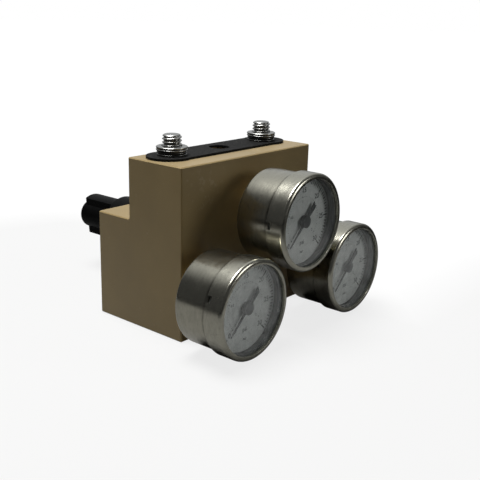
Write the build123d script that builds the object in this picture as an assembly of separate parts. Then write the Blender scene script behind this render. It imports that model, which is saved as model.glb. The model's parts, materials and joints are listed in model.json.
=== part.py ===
from build123d import *
import math
import os

# Pneumatic pressure regulator: an L-shaped manifold block with three pressure
# gauges on its front, a spring-loaded diaphragm regulator on its rear and two
# mounting studs with a gasket on its top. Millimetres, +Z up, front towards -Y.
# The origin is the centre of the block's footprint, on its bottom face.

# Manifold block
block_width = 81.9
block_height = 71.1
upper_depth = 30.0
lower_depth = 49.0
step_height = 45.6
block_edge_chamfer = 0.4

# Mounting gasket, studs and washers on the top face
stud_spacing = 56.5
stud_setback = 18.0
stud_radius = 3.97
stud_engagement = 14.0
stud_projection = 4.7
stud_tip_chamfer = 1.0
stud_body_radius = 3.6
stud_thread_gap = 0.1
gasket_thickness = 1.0
gasket_lobe_radius = 9.2
gasket_lobe_offset = 1.7
gasket_waist_width = 17.2
gasket_port_radius = 4.45
stud_hole_clearance = 0.25
washer_radius = 6.4
washer_hole_clearance = 0.25
lock_washer_thickness = 0.95
lock_washer_gap = 0.7
lock_washer_radius = 6.1
lock_washer_turns = (-30.0, 110.0)
flat_washer_thickness = 0.95
flat_washer_chamfer = 0.3

# Ports and drilled passages
supply_mouth_radius = 4.7
supply_mouth_depth = 12.0
supply_port_radius = 3.0
pipe_port_radius = 4.35
pipe_port_depth = 10.0
outlet_port_offset = 25.0
gauge_tap_depth = 11.0
passage_radius = 1.5
gauge_passage_radius = 1.2
outlet_passage_radius = 1.3
passage_setback = 33.5
passage_plug_radius = 3.2
passage_plug_length = 7.0
plug_socket_width = 3.2
plug_socket_depth = 3.5
fixed_clearance = 0.02

# Gauges: where they sit and their casing
gauge_side_inset = 6.45
gauge_floor_gap = 0.9
gauge_bezel_gap = 3.9
gauge_standoff = 8.5
gauge_depth = 24.0
bezel_radius = 20.0
bezel_wall = 0.9
bezel_length = 8.1
bezel_lip_thickness = 1.0
bezel_lip_width = 2.2
bezel_chamfer = 0.7
bezel_notch_width = 2.6
bezel_notch_length = 2.2
case_wall = 0.8
case_clearance = 0.1
case_corner_chamfer = 1.0
lens_thickness = 1.5
lens_radius_clearance = 0.3
lens_front_gap = 0.05
window_gasket_thickness = 0.9
window_gasket_width = 1.6

# Gauge dial and pointer
dial_edge_gap = 0.6
dial_thickness = 0.5
dial_recess = 5.05
dial_hole_radius = 1.4
pointer_reach_share = 0.75
pointer_tail = 8.0
pointer_root_width = 1.3
pointer_tip_width = 0.3
pointer_tail_width = 2.4
pointer_thickness = 0.4
pointer_hub_radius = 2.5
pointer_hub_thickness = 1.9
pointer_cap_thickness = 0.4
pointer_gap = 0.3
pointer_zero_angle = 225.0

# Gauge stem, movement and Bourdon tube
stem_radius = 3.95
stem_length = 9.5
stem_flats = 11.0
stem_face_gap = 0.4
case_hole_radius = 4.6
movement_pad_width = 9.0
movement_pad_length = 6.3
movement_pad_drop = 2.5
socket_bore_radius = 0.8
socket_bore_stop = 0.6
plate_thickness = 0.8
plate_gap = 5.5
plate_top = 4.0
plate_margin = 1.6
pillar_radius = 0.7
pillar_half_spread = 3.8
gear_module = 0.25
pinion_teeth = 12
sector_full_teeth = 72
sector_cut_teeth = 14
sector_swing = 45.0
gear_backlash = 0.14
pinion_width = 2.4
sector_width = 1.2
arbor_radius = 0.5
arbor_clearance = 0.04
arbor_end_gap = 0.2
sector_tail = 3.5
sector_tail_radius = 0.8
sector_tail_root = 1.2
sector_tail_hole = 0.35
sector_rim_width = 1.2
sector_rim_taper = 4.0
arbor_seat_share = 0.7
tooth_addendum = 0.9
tooth_dedendum = 1.2
tooth_root_overlap = 0.1
tooth_root_flare = 0.6
tooth_pressure_angle = 20.0
sector_hub_radius = 1.5
tube_radius = 13.3
tube_section = 1.4
tube_width = 4.5
tube_wall = 0.3
tube_root_angle = 226.0
tube_tip_angle = -40.0
tip_lug_length = 1.6
tip_lug_width = 2.0
root_block_length = 3.0
root_block_width = 3.4
dial_post_radius = 0.6
dial_post_length = 1.6

# Regulator: bonnet, knob and adjusting screw
regulator_height = 27.1
bonnet_bore_radius = 10.0
bonnet_bore_depth = 12.0
bonnet_radius = 12.5
bonnet_length = 31.5
bonnet_wall = 2.0
bonnet_end_wall = 9.0
bonnet_chamfer = 0.4
bonnet_flat_chamber = 17.0
bonnet_flat_half_width = 6.6
bonnet_flat_root = 0.5
bonnet_thread_clearance = 0.05
vent_radius = 0.8
knob_gap = 0.5
knob_hub_radius = 7.0
knob_wing_radius = 10.0
knob_wing_width = 8.2
knob_wing_length = 22.6
knob_wing_rounding = 0.9
knob_wing_tilt = -5.0
knob_dome_length = 2.3
knob_dome_rounding = 1.9
knob_bore_depth = 16.0
screw_neck_radius = 4.0
screw_neck_clearance = 0.05
screw_flange_radius = 6.0
screw_flange_thickness = 1.2
screw_flange_gap = 0.1
screw_thread_radius = 3.0
screw_thread_length = 18.6
screw_drive_radius = 3.0
screw_drive_flat = 2.4
nut_thickness = 4.0
nut_start_gap = 2.8
nut_side_clearance = 0.2
nut_thread_clearance = 0.06
spring_spigot_radius = 4.0
spring_spigot_length = 1.5

# Regulator: diaphragm stack and valve
diaphragm_thickness = 0.8
slip_ring_thickness = 0.8
slip_ring_width = 2.0
plate_disc_radius = 6.9
plate_disc_thickness = 1.4
rivet_head_radius = 3.2
rivet_head_thickness = 1.0
rivet_shank_radius = 1.4
rivet_clearance = 0.05
sensing_chamber_radius = 7.5
sensing_chamber_depth = 6.0
seat_flange_radius = 6.4
seat_flange_thickness = 1.5
seat_radius = 5.0
seat_length = 8.0
seat_orifice_radius = 1.8
seat_seal_depth = 0.8
seat_seal_width = 1.4
inlet_chamber_radius = 4.2
inlet_chamber_depth = 11.5
poppet_radius = 3.2
poppet_thickness = 2.5
poppet_stem_radius = 0.85
poppet_gap = 0.05
range_spring_radius = 5.6
range_spring_wire = 1.4
range_spring_turns = 5
poppet_spring_radius = 2.5
poppet_spring_wire = 0.5
poppet_spring_turns = 5
spring_end_gap = 0.1

# Places that follow from the sizes above
front_y = -lower_depth / 2
rear_y = lower_depth / 2
step_y = front_y + upper_depth
stud_y = front_y + stud_setback
stud_x = stud_spacing / 2
gauge_x = block_width / 2 - gauge_side_inset
lower_gauge_height = bezel_radius + gauge_floor_gap
gauge_pitch = 2 * bezel_radius + gauge_bezel_gap
upper_gauge_height = lower_gauge_height + math.sqrt(gauge_pitch ** 2 - gauge_x ** 2)
passage_y = front_y + passage_setback
gauge_places = {
    "supply": (0, upper_gauge_height),
    "outlet": (-gauge_x, lower_gauge_height),
    "signal": (gauge_x, lower_gauge_height),
}
notch_angles = {"supply": 176.0, "outlet": 157.0, "signal": 165.0}


def rod_y(radius, y_from, y_to, x=0.0, z=0.0):
    """Solid cylinder along Y between two depths."""
    bottom = (Align.CENTER, Align.CENTER, Align.MIN)
    low, high = min(y_from, y_to), max(y_from, y_to)
    return Pos(x, low, z) * Rot(X=-90) * Cylinder(radius, high - low, align=bottom)


def rod_z(radius, z_from, z_to, x=0.0, y=0.0):
    """Solid cylinder along Z between two heights."""
    bottom = (Align.CENTER, Align.CENTER, Align.MIN)
    low, high = min(z_from, z_to), max(z_from, z_to)
    return Pos(x, y, low) * Cylinder(radius, high - low, align=bottom)


def rod_x(radius, x_from, x_to, y=0.0, z=0.0):
    """Solid cylinder along X between two positions."""
    bottom = (Align.CENTER, Align.CENTER, Align.MIN)
    low, high = min(x_from, x_to), max(x_from, x_to)
    return Pos(low, y, z) * Rot(Y=90) * Cylinder(radius, high - low, align=bottom)


def bar_y(width, height, y_from, y_to, x=0.0, z=0.0):
    """Rectangular bar along Y, centred on x and z."""
    low, high = min(y_from, y_to), max(y_from, y_to)
    return Pos(x, (low + high) / 2, z) * Box(width, high - low, height)


def turned_y(points):
    """Solid of revolution about Y from (radius, y) points."""
    return revolve(make_face(Polyline(*points, close=True)), Axis.Y)


def flat_y(sketch, y_from, y_to):
    """Extrude a sketch drawn in X and Z between two depths."""
    low, high = min(y_from, y_to), max(y_from, y_to)
    plane = Plane(origin=(0, high, 0), x_dir=(1, 0, 0), z_dir=(0, -1, 0))
    return extrude(plane * sketch, amount=high - low)


def polar(radius, angle):
    """X and Z offsets of a point at an angle seen from the front."""
    return (radius * math.cos(math.radians(angle)), radius * math.sin(math.radians(angle)))


def save(name, shape):
    export_step(shape, f"parts/{name}.step")


# Block: the L-shaped body, its bores and the passages that join them
def make_block():
    half_width = block_width / 2
    profile = Polyline(
        (front_y, 0), (rear_y, 0), (rear_y, step_height),
        (step_y, step_height), (step_y, block_height), (front_y, block_height),
        close=True,
    )
    side = Plane(origin=(-half_width, 0, 0), x_dir=(0, 1, 0), z_dir=(1, 0, 0))
    block = extrude(side * make_face(profile), amount=block_width)
    block = chamfer(block.edges(), block_edge_chamfer)

    # Regulator bore, stepped from the rear face inwards
    ledge_y = rear_y - bonnet_bore_depth
    chamber_y = ledge_y - sensing_chamber_depth
    seat_end_y = chamber_y - seat_length
    z = regulator_height
    block -= rod_y(bonnet_bore_radius, ledge_y, rear_y + 1, 0, z)
    block -= rod_y(sensing_chamber_radius, chamber_y, ledge_y + 1, 0, z)
    block -= rod_y(seat_radius, seat_end_y, chamber_y + 1, 0, z)
    block -= rod_y(inlet_chamber_radius, seat_end_y - inlet_chamber_depth, seat_end_y + 1, 0, z)

    # Supply passage from the top face down to the inlet chamber
    block -= rod_z(supply_port_radius, z, block_height + 1, 0, stud_y)
    block -= rod_z(supply_mouth_radius, block_height - supply_mouth_depth, block_height + 1,
                   0, stud_y)

    # Gauge taps in the front face, each with a fine drilling behind it
    tap_y = front_y + gauge_tap_depth
    for x, height in gauge_places.values():
        block -= rod_y(stem_radius + fixed_clearance, front_y - 1, tap_y, x, height)
    fine = gauge_passage_radius
    block -= rod_y(fine, tap_y - 1, stud_y, 0, upper_gauge_height)
    block -= rod_y(fine, tap_y - 1, passage_y, -gauge_x, lower_gauge_height)
    block -= rod_y(fine, tap_y - 1, stud_y, gauge_x, lower_gauge_height)

    # Cross passage from the right side to the outlet gauge, and the two ports
    cross_end = -gauge_x - 2 * passage_radius
    block -= rod_x(passage_radius, cross_end, half_width, passage_y, lower_gauge_height)
    plug_bore = passage_plug_radius + fixed_clearance
    block -= rod_x(plug_bore, half_width - passage_plug_length, half_width + 1,
                   passage_y, lower_gauge_height)
    block -= rod_y(pipe_port_radius, rear_y - pipe_port_depth, rear_y + 1,
                   -outlet_port_offset, lower_gauge_height)
    block -= rod_y(outlet_passage_radius, passage_y, rear_y, -outlet_port_offset,
                   lower_gauge_height)
    block -= rod_x(pipe_port_radius, half_width - pipe_port_depth, half_width + 1,
                   stud_y, lower_gauge_height)

    # Tapped holes for the studs
    for x in (-stud_x, stud_x):
        block -= rod_z(stud_body_radius + fixed_clearance, block_height - stud_engagement,
                       block_height + 1, x, stud_y)
    return block


def make_passage_plug():
    face_x = block_width / 2
    plug = rod_x(passage_plug_radius, face_x - passage_plug_length, face_x,
                 passage_y, lower_gauge_height)
    socket = extrude(RegularPolygon(plug_socket_width / 2, 6, major_radius=False),
                     amount=plug_socket_depth)
    plug -= Pos(face_x - plug_socket_depth, passage_y, lower_gauge_height) * Rot(Y=90) * socket
    return plug


# Gasket, studs and washers on the top face
def make_gasket():
    lobe_x = stud_x + gasket_lobe_offset
    lobes = Sketch() + [Pos(x, 0) * Circle(gasket_lobe_radius) for x in (-lobe_x, lobe_x)]
    outline = lobes + Rectangle(2 * lobe_x, gasket_waist_width)
    outline -= Circle(gasket_port_radius)
    for x in (-stud_x, stud_x):
        outline -= Pos(x, 0) * Circle(stud_radius + stud_hole_clearance)
    return Pos(0, stud_y, block_height) * extrude(outline, amount=gasket_thickness)


def washer_stack_height():
    return 2 * lock_washer_thickness + 2 * flat_washer_thickness


def make_studs():
    seat = block_height + gasket_thickness + washer_stack_height()
    studs = []
    for x in (-stud_x, stud_x):
        thread = rod_z(stud_radius, seat + stud_thread_gap, seat + stud_projection, x, stud_y)
        thread = chamfer(thread.edges().sort_by(Axis.Z)[-1], stud_tip_chamfer)
        body = rod_z(stud_body_radius, block_height - stud_engagement,
                     seat + stud_thread_gap, x, stud_y)
        studs.append(thread + body)
    return Compound(studs)


def make_lock_washers():
    washers = []
    hole = stud_radius + washer_hole_clearance
    for x in (-stud_x, stud_x):
        for level in range(len(lock_washer_turns)):
            base = block_height + gasket_thickness + level * lock_washer_thickness
            ring = rod_z(lock_washer_radius, base, base + lock_washer_thickness, x, stud_y)
            ring -= rod_z(hole, base - 1, base + lock_washer_thickness + 1, x, stud_y)
            split = Box(2 * lock_washer_radius, lock_washer_gap, 3 * lock_washer_thickness)
            turn = Rot(Z=lock_washer_turns[level]) * Pos(lock_washer_radius, 0, 0)
            ring -= Pos(x, stud_y, base) * turn * split
            washers.append(ring)
    return Compound(washers)


def make_flat_washers():
    washers = []
    hole = stud_radius + washer_hole_clearance
    floor = block_height + gasket_thickness + 2 * lock_washer_thickness
    for x in (-stud_x, stud_x):
        for level in range(2):
            base = floor + level * flat_washer_thickness
            ring = rod_z(washer_radius, base, base + flat_washer_thickness, x, stud_y)
            ring = chamfer(ring.edges().sort_by(Axis.Z)[-1], flat_washer_chamfer)
            ring -= rod_z(hole, base - 1, base + flat_washer_thickness + 1, x, stud_y)
            washers.append(ring)
    return Compound(washers)


# Gauge casing, drawn about the gauge axis with the block's front face at y = 0
gauge_front = -(gauge_standoff + gauge_depth)
lens_front = gauge_front + bezel_lip_thickness + lens_front_gap
lens_rear = lens_front + lens_thickness
case_rim = lens_rear + window_gasket_thickness
case_radius = bezel_radius - bezel_wall - case_clearance
case_bore = case_radius - case_wall
case_floor = -gauge_standoff - case_wall
bezel_window_radius = bezel_radius - bezel_lip_width
dial_radius = case_bore - dial_edge_gap
dial_front = gauge_front + dial_recess
dial_rear = dial_front + dial_thickness
pointer_reach = pointer_reach_share * dial_radius
arbor_front = dial_front - pointer_gap - pointer_hub_thickness + pointer_cap_thickness


def make_gauge_case():
    corner = case_corner_chamfer
    cup = turned_y([
        (case_hole_radius, -gauge_standoff),
        (case_radius - corner, -gauge_standoff),
        (case_radius, -gauge_standoff - corner),
        (case_radius, case_rim),
        (case_bore, case_rim),
        (case_bore, case_floor),
        (case_hole_radius, case_floor),
    ])
    return cup


def make_bezel(notch_angle):
    inner = bezel_radius - bezel_wall
    rear = gauge_front + bezel_length
    ring = turned_y([
        (inner, rear),
        (bezel_radius, rear),
        (bezel_radius, gauge_front + bezel_chamfer),
        (bezel_radius - bezel_chamfer, gauge_front),
        (bezel_window_radius + bezel_chamfer / 2, gauge_front),
        (bezel_window_radius, gauge_front + bezel_chamfer / 2),
        (bezel_window_radius, gauge_front + bezel_lip_thickness),
        (inner, gauge_front + bezel_lip_thickness),
    ])
    for step in range(3):
        angle = notch_angle + step * 120
        notch = Box(4 * bezel_wall, 2 * bezel_notch_length, bezel_notch_width)
        ring -= Pos(0, rear, 0) * Rot(Y=-angle) * Pos(bezel_radius, 0, 0) * notch
    return ring


def make_lens():
    radius = bezel_radius - bezel_wall - lens_radius_clearance
    return rod_y(radius, lens_front, lens_rear)


def make_window_gasket():
    outer = case_radius
    return turned_y([
        (outer - window_gasket_width, lens_rear),
        (outer, lens_rear),
        (outer, case_rim),
        (outer - window_gasket_width, case_rim),
    ])


# Gauge movement: gear sizes from the module and the tooth counts
pinion_pitch = gear_module * pinion_teeth / 2
sector_pitch = gear_module * sector_full_teeth / 2
gear_centres = pinion_pitch + sector_pitch
sector_z = -gear_centres
front_plate_front = dial_rear + dial_post_length
front_plate_rear = front_plate_front + plate_thickness
rear_plate_front = front_plate_rear + plate_gap
rear_plate_rear = rear_plate_front + plate_thickness
mesh_y = (front_plate_rear + rear_plate_front) / 2
gear_ratio = sector_full_teeth / pinion_teeth


def tooth_outline(pitch_radius, angle):
    """One gear tooth as a closed six-point outline about the gear's centre."""
    addendum = tooth_addendum * gear_module
    dedendum = tooth_dedendum * gear_module
    pitch_half = (math.pi * gear_module / 2 - gear_backlash) / 2
    flank = math.tan(math.radians(tooth_pressure_angle))
    tip_half = pitch_half - addendum * flank
    root_half = pitch_half + dedendum * flank * tooth_root_flare
    stations = (
        (pitch_radius - dedendum - tooth_root_overlap, root_half),
        (pitch_radius, pitch_half),
        (pitch_radius + addendum, tip_half),
    )
    left = [(radius, half) for radius, half in stations]
    right = [(radius, -half) for radius, half in reversed(stations)]
    turn = math.radians(angle)
    points = []
    for radius, offset in left + right:
        points.append((radius * math.cos(turn) - offset * math.sin(turn),
                       radius * math.sin(turn) + offset * math.cos(turn)))
    return make_face(Polyline(*points, close=True))


def make_pinion():
    root = pinion_pitch - tooth_dedendum * gear_module
    teeth = Sketch() + Circle(root)
    for index in range(pinion_teeth):
        angle = -90 + (index + 0.5) * 360 / pinion_teeth
        teeth += tooth_outline(pinion_pitch, angle)
    gear = flat_y(teeth, mesh_y - pinion_width / 2, mesh_y + pinion_width / 2)
    arbor = rod_y(arbor_radius, arbor_front, rear_plate_rear - arbor_end_gap)
    return gear + arbor


def make_sector():
    """Sector gear in its zero-pressure position, pivoted below the pinion."""
    middle = 90 - sector_swing / 2
    tooth_step = 360 / sector_full_teeth
    half_span = (sector_cut_teeth - 0.5) * tooth_step / 2
    root = sector_pitch - tooth_dedendum * gear_module
    rim = root - sector_rim_width
    wedge = make_face(Polyline(
        (0, 0), polar(2 * root, middle - half_span), polar(2 * root, middle + half_span),
        close=True))
    narrow = half_span - sector_rim_taper
    web = make_face(Polyline(
        (0, 0), polar(2 * root, middle - narrow), polar(2 * root, middle + narrow), close=True))
    body = Circle(root) & web
    body += (Circle(root) - Circle(rim)) & wedge
    body += Circle(sector_hub_radius)
    # the teeth keep the angular grid of a full wheel with one tooth straight up
    for index in range(-sector_full_teeth, sector_full_teeth):
        angle = 90 + index * tooth_step
        if abs(angle - middle) <= half_span - tooth_step / 4:
            body += tooth_outline(sector_pitch, angle)
    # the tail that the link pushes lies straight opposite the teeth
    side = sector_tail_radius
    tail = make_face(Polyline((0, sector_tail_root), (sector_tail, side), (sector_tail, -side),
                              (0, -sector_tail_root), close=True))
    tail += Pos(sector_tail, 0) * Circle(side)
    tail -= Pos(sector_tail, 0) * Circle(sector_tail_hole)
    body += Rot(Z=middle + 180) * tail
    plate = flat_y(body, mesh_y - sector_width / 2, mesh_y + sector_width / 2)
    seat = plate_thickness * arbor_seat_share
    arbor = rod_y(arbor_radius, front_plate_rear - seat, rear_plate_front + seat)
    return Pos(0, 0, sector_z) * (plate + arbor)


def make_movement_frame():
    """Two plates held apart by three pillars, bored for both arbors."""
    corners = [(0, plate_top), (-pillar_half_spread, sector_z), (pillar_half_spread, sector_z)]
    rounds = [Pos(*point) * Circle(plate_margin) for point in corners]
    outline = make_hull([edge for piece in rounds for edge in piece.edges()])
    hole = arbor_radius + arbor_clearance
    outline -= Circle(hole)
    outline -= Pos(0, sector_z) * Circle(hole)
    frame = flat_y(outline, front_plate_front, front_plate_rear)
    frame += flat_y(outline, rear_plate_front, rear_plate_rear)
    for x, z in corners:
        frame += rod_y(pillar_radius, front_plate_rear, rear_plate_front, x, z)
    for x in (-pillar_half_spread, pillar_half_spread):
        frame += rod_y(dial_post_radius, dial_rear, front_plate_front, x, sector_z)
    frame += rod_y(dial_post_radius, dial_rear, front_plate_front, 0, plate_top)
    return frame


def make_dial():
    dial = rod_y(dial_radius, dial_front, dial_rear)
    return dial - rod_y(dial_hole_radius, dial_front - 1, dial_rear + 1)


def make_pointer():
    """Flat pointer with a needle, a counterweight tail and a closed hub."""
    back = dial_front - pointer_gap
    root, tip = pointer_root_width / 2, pointer_tip_width / 2
    end = pointer_tail_width / 2
    needle = Polyline((0, root), (pointer_reach, tip), (pointer_reach, -tip), (0, -root),
                      close=True)
    tail = Polyline((0, root), (-pointer_tail, end), (-pointer_tail - end, -end), (0, -root),
                    close=True)
    blade = make_face(needle) + make_face(tail)
    blade = Rot(Z=pointer_zero_angle) * blade
    plate = flat_y(blade, back - pointer_hub_thickness / 2 - pointer_thickness / 2,
                   back - pointer_hub_thickness / 2 + pointer_thickness / 2)
    hub = rod_y(pointer_hub_radius, back, back - pointer_hub_thickness)
    bore = rod_y(arbor_radius + fixed_clearance, back + 1, arbor_front - fixed_clearance)
    return plate + hub - bore


def make_socket():
    """Brass stem: thread, wrench square, neck, movement pad and tube root arm."""
    stem = rod_y(stem_radius, -stem_face_gap, stem_length)
    square = bar_y(stem_flats, stem_flats, -stem_face_gap, -gauge_standoff)
    neck = rod_y(case_hole_radius - fixed_clearance, -stem_face_gap, case_floor)
    pad_front = rear_plate_rear
    pad = bar_y(movement_pad_width, movement_pad_length, case_floor, pad_front,
                0, -movement_pad_drop)
    depth = case_floor - pad_front
    arm = Pos(tube_radius / 2, (case_floor + pad_front) / 2, root_block_length / 2) * Box(
        tube_radius, depth, root_block_length)
    riser_front = mesh_y - tube_width / 2 - tube_wall
    riser_depth = case_floor - riser_front
    riser = Pos(tube_radius, (case_floor + riser_front) / 2, root_block_length / 2) * Box(
        root_block_width, riser_depth, root_block_length)
    root = Rot(Y=-tube_root_angle) * (arm + riser)
    socket = stem + square + neck + pad + root
    bore = rod_y(socket_bore_radius, stem_length + 1, case_floor - socket_bore_stop)
    return socket - bore


def make_bourdon_tube():
    """C-shaped flattened tube, closed at its tip by a lug."""
    outer = tube_radius + tube_section / 2
    inner = tube_radius - tube_section / 2
    half = tube_width / 2
    section = make_face(Polyline((inner, -half), (outer, -half), (outer, half), (inner, half),
                                 close=True))
    wall = tube_wall
    hollow = make_face(Polyline((inner + wall, -half + wall), (outer - wall, -half + wall),
                                (outer - wall, half - wall), (inner + wall, half - wall),
                                close=True))
    sweep = tube_root_angle - tube_tip_angle
    tube = revolve(section - hollow, Axis.Y, revolution_arc=sweep)
    tube = Rot(Y=-tube_root_angle) * tube
    lug = Box(tip_lug_width, tube_width, tip_lug_length)
    lug = Pos(tube_radius, 0, -tip_lug_length / 2) * lug
    tube += Rot(Y=-tube_tip_angle) * lug
    return Pos(0, mesh_y, 0) * tube


# Regulator, drawn about its own axis with the block's real depths
ledge_y = rear_y - bonnet_bore_depth
chamber_y = ledge_y - sensing_chamber_depth
seat_end_y = chamber_y - seat_length
inlet_end_y = seat_end_y - inlet_chamber_depth
diaphragm_top = ledge_y + diaphragm_thickness
slip_top = diaphragm_top + slip_ring_thickness
bonnet_end = rear_y + bonnet_length
bonnet_chamber = bonnet_bore_radius - bonnet_wall
chamber_end = bonnet_end - bonnet_end_wall
plate_top_y = diaphragm_top + plate_disc_thickness
flange_y = chamber_end - screw_flange_gap
nut_rear = flange_y - screw_flange_thickness - nut_start_gap
nut_front = nut_rear - nut_thickness


def make_bonnet():
    spigot = bonnet_bore_radius - bonnet_thread_clearance
    neck = screw_neck_radius + screw_neck_clearance
    shell = turned_y([
        (bonnet_chamber, slip_top),
        (spigot, slip_top),
        (spigot, rear_y),
        (bonnet_radius, rear_y),
        (bonnet_radius, bonnet_end - bonnet_chamfer),
        (bonnet_radius - bonnet_chamfer, bonnet_end),
        (neck, bonnet_end),
        (neck, chamber_end),
        (bonnet_chamber, chamber_end),
    ])
    # two inner flats keep the spring nut from turning
    ring = rod_y(bonnet_chamber + bonnet_flat_root, chamber_end - bonnet_flat_chamber, chamber_end)
    width = 2 * bonnet_flat_half_width
    ring -= bar_y(width, 4 * bonnet_chamber, chamber_end - bonnet_flat_chamber - 1,
                  chamber_end + 1)
    shell += ring
    vent = rod_z(vent_radius, -bonnet_radius - 1, 0, 0, rear_y + bonnet_length / 3)
    return shell - vent


def make_screw():
    """Adjusting screw: drive end, neck, thrust flange and thread."""
    drive_end = bonnet_end + knob_gap + knob_bore_depth
    screw = rod_y(screw_neck_radius, flange_y, bonnet_end + knob_gap)
    screw += rod_y(screw_flange_radius, flange_y, flange_y - screw_flange_thickness)
    thread_end = flange_y - screw_flange_thickness - screw_thread_length
    screw += rod_y(screw_thread_radius, thread_end, flange_y)
    drive = rod_y(screw_drive_radius, bonnet_end, drive_end)
    width = 2 * screw_drive_radius
    drive -= bar_y(width, 2 * width, bonnet_end + knob_gap, drive_end + 1,
                   screw_drive_flat + width / 2)
    return screw + drive


def make_knob():
    """Wing knob: round hub with a domed end and two opposed wings, at rest a little off upright."""
    start = bonnet_end + knob_gap
    wing_end = start + knob_wing_length
    hub_end = wing_end + knob_dome_length
    hub = rod_y(knob_hub_radius, start, hub_end)
    hub = fillet(hub.edges().sort_by(Axis.Y)[-1], knob_dome_rounding)
    outline = Circle(knob_wing_radius) & Rectangle(knob_wing_width, 3 * knob_wing_radius)
    wings = flat_y(outline, start, wing_end)
    wings = fillet(wings.edges().group_by(Axis.Y)[-1], knob_wing_rounding)
    knob = hub + Rot(Y=knob_wing_tilt) * wings
    bore = rod_y(screw_drive_radius + fixed_clearance, start - 1, start + knob_bore_depth)
    width = 2 * screw_drive_radius
    key = bar_y(width, 2 * width, start - 1, start + knob_bore_depth + 1,
                screw_drive_flat + fixed_clearance + width / 2)
    return knob - (bore - key)


def make_spring_nut():
    outline = Circle(bonnet_chamber - nut_side_clearance)
    outline &= Rectangle(2 * (bonnet_flat_half_width - nut_side_clearance), 4 * bonnet_chamber)
    nut = flat_y(outline, nut_front, nut_rear)
    nut += rod_y(spring_spigot_radius, nut_front, nut_front - spring_spigot_length)
    bore = screw_thread_radius + nut_thread_clearance
    return nut - rod_y(bore, nut_front - spring_spigot_length - 1, nut_rear + 1)


def make_spring(radius, wire, turns, y_from, y_to):
    """Coil of square wire along Y between two seats."""
    length = y_to - y_from - wire
    path = Helix(pitch=length / turns, height=length, radius=radius)
    profile = Plane(origin=path @ 0, z_dir=path % 0, x_dir=(1, 0, 0)) * Rectangle(wire, wire)
    coil = sweep(profile, path=path, is_frenet=True)
    return Pos(0, y_from + wire / 2, 0) * Rot(X=-90) * coil


def make_range_spring():
    return make_spring(range_spring_radius, range_spring_wire, range_spring_turns,
                       plate_top_y + spring_end_gap, nut_front - spring_end_gap)


def make_slip_ring():
    outer = bonnet_bore_radius - bonnet_thread_clearance
    inner = outer - slip_ring_width
    return rod_y(outer, diaphragm_top, slip_top) - rod_y(inner, diaphragm_top - 1, slip_top + 1)


def make_diaphragm():
    disc = rod_y(bonnet_bore_radius - bonnet_thread_clearance, ledge_y, diaphragm_top)
    hole = rod_y(rivet_shank_radius + rivet_clearance, ledge_y - 1, diaphragm_top + 1)
    return disc - hole


def make_diaphragm_plate():
    disc = rod_y(plate_disc_radius, diaphragm_top, plate_top_y)
    disc += rod_y(spring_spigot_radius, plate_top_y, plate_top_y + spring_spigot_length)
    hole = rivet_shank_radius + rivet_clearance
    return disc - rod_y(hole, diaphragm_top - 1, plate_top_y + spring_spigot_length + 1)


def make_diaphragm_rivet():
    head_top = ledge_y - rivet_clearance
    rivet = rod_y(rivet_head_radius, head_top - rivet_head_thickness, head_top)
    return rivet + rod_y(rivet_shank_radius, head_top, plate_top_y + spring_spigot_length)


def make_valve_seat():
    fit = seat_radius - fixed_clearance
    groove_y = chamber_y - seat_length / 2
    seat = turned_y([
        (seat_orifice_radius, seat_end_y),
        (fit, seat_end_y),
        (fit, groove_y - seat_seal_width / 2),
        (fit - seat_seal_depth, groove_y - seat_seal_width / 2),
        (fit - seat_seal_depth, groove_y + seat_seal_width / 2),
        (fit, groove_y + seat_seal_width / 2),
        (fit, chamber_y),
        (seat_flange_radius, chamber_y),
        (seat_flange_radius, chamber_y + seat_flange_thickness),
        (seat_orifice_radius, chamber_y + seat_flange_thickness),
    ])
    return seat


def make_seat_seal():
    fit = seat_radius - fixed_clearance
    groove_y = chamber_y - seat_length / 2
    half = seat_seal_width / 2 - fixed_clearance
    return turned_y([
        (fit - seat_seal_depth + fixed_clearance, groove_y - half),
        (fit, groove_y - half),
        (fit, groove_y + half),
        (fit - seat_seal_depth + fixed_clearance, groove_y + half),
    ])


poppet_face = seat_end_y - poppet_gap
rivet_face = ledge_y - rivet_clearance - rivet_head_thickness


def make_poppet():
    disc = rod_y(poppet_radius, poppet_face, poppet_face - poppet_thickness)
    return disc + rod_y(poppet_stem_radius, poppet_face, rivet_face - poppet_gap)


def make_poppet_spring():
    return make_spring(poppet_spring_radius, poppet_spring_wire, poppet_spring_turns,
                       inlet_end_y + spring_end_gap,
                       poppet_face - poppet_thickness - spring_end_gap)


os.makedirs("parts", exist_ok=True)

save("manifold_block", make_block())
save("passage_plug", make_passage_plug())
save("mounting_gasket", make_gasket())
save("mounting_studs", make_studs())
save("lock_washers", make_lock_washers())
save("flat_washers", make_flat_washers())

for gauge, (gauge_place_x, gauge_place_z) in gauge_places.items():
    place = Pos(gauge_place_x, front_y, gauge_place_z)
    save(f"{gauge}_gauge_case", place * make_gauge_case())
    save(f"{gauge}_gauge_bezel", place * make_bezel(notch_angles[gauge]))
    save(f"{gauge}_gauge_lens", place * make_lens())
    save(f"{gauge}_window_gasket", place * make_window_gasket())
    save(f"{gauge}_dial", place * make_dial())
    save(f"{gauge}_pointer", place * make_pointer())
    save(f"{gauge}_pinion", place * make_pinion())
    save(f"{gauge}_sector_gear", place * make_sector())
    save(f"{gauge}_movement_frame", place * make_movement_frame())
    save(f"{gauge}_bourdon_tube", place * make_bourdon_tube())
    save(f"{gauge}_gauge_socket", place * make_socket())

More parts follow.
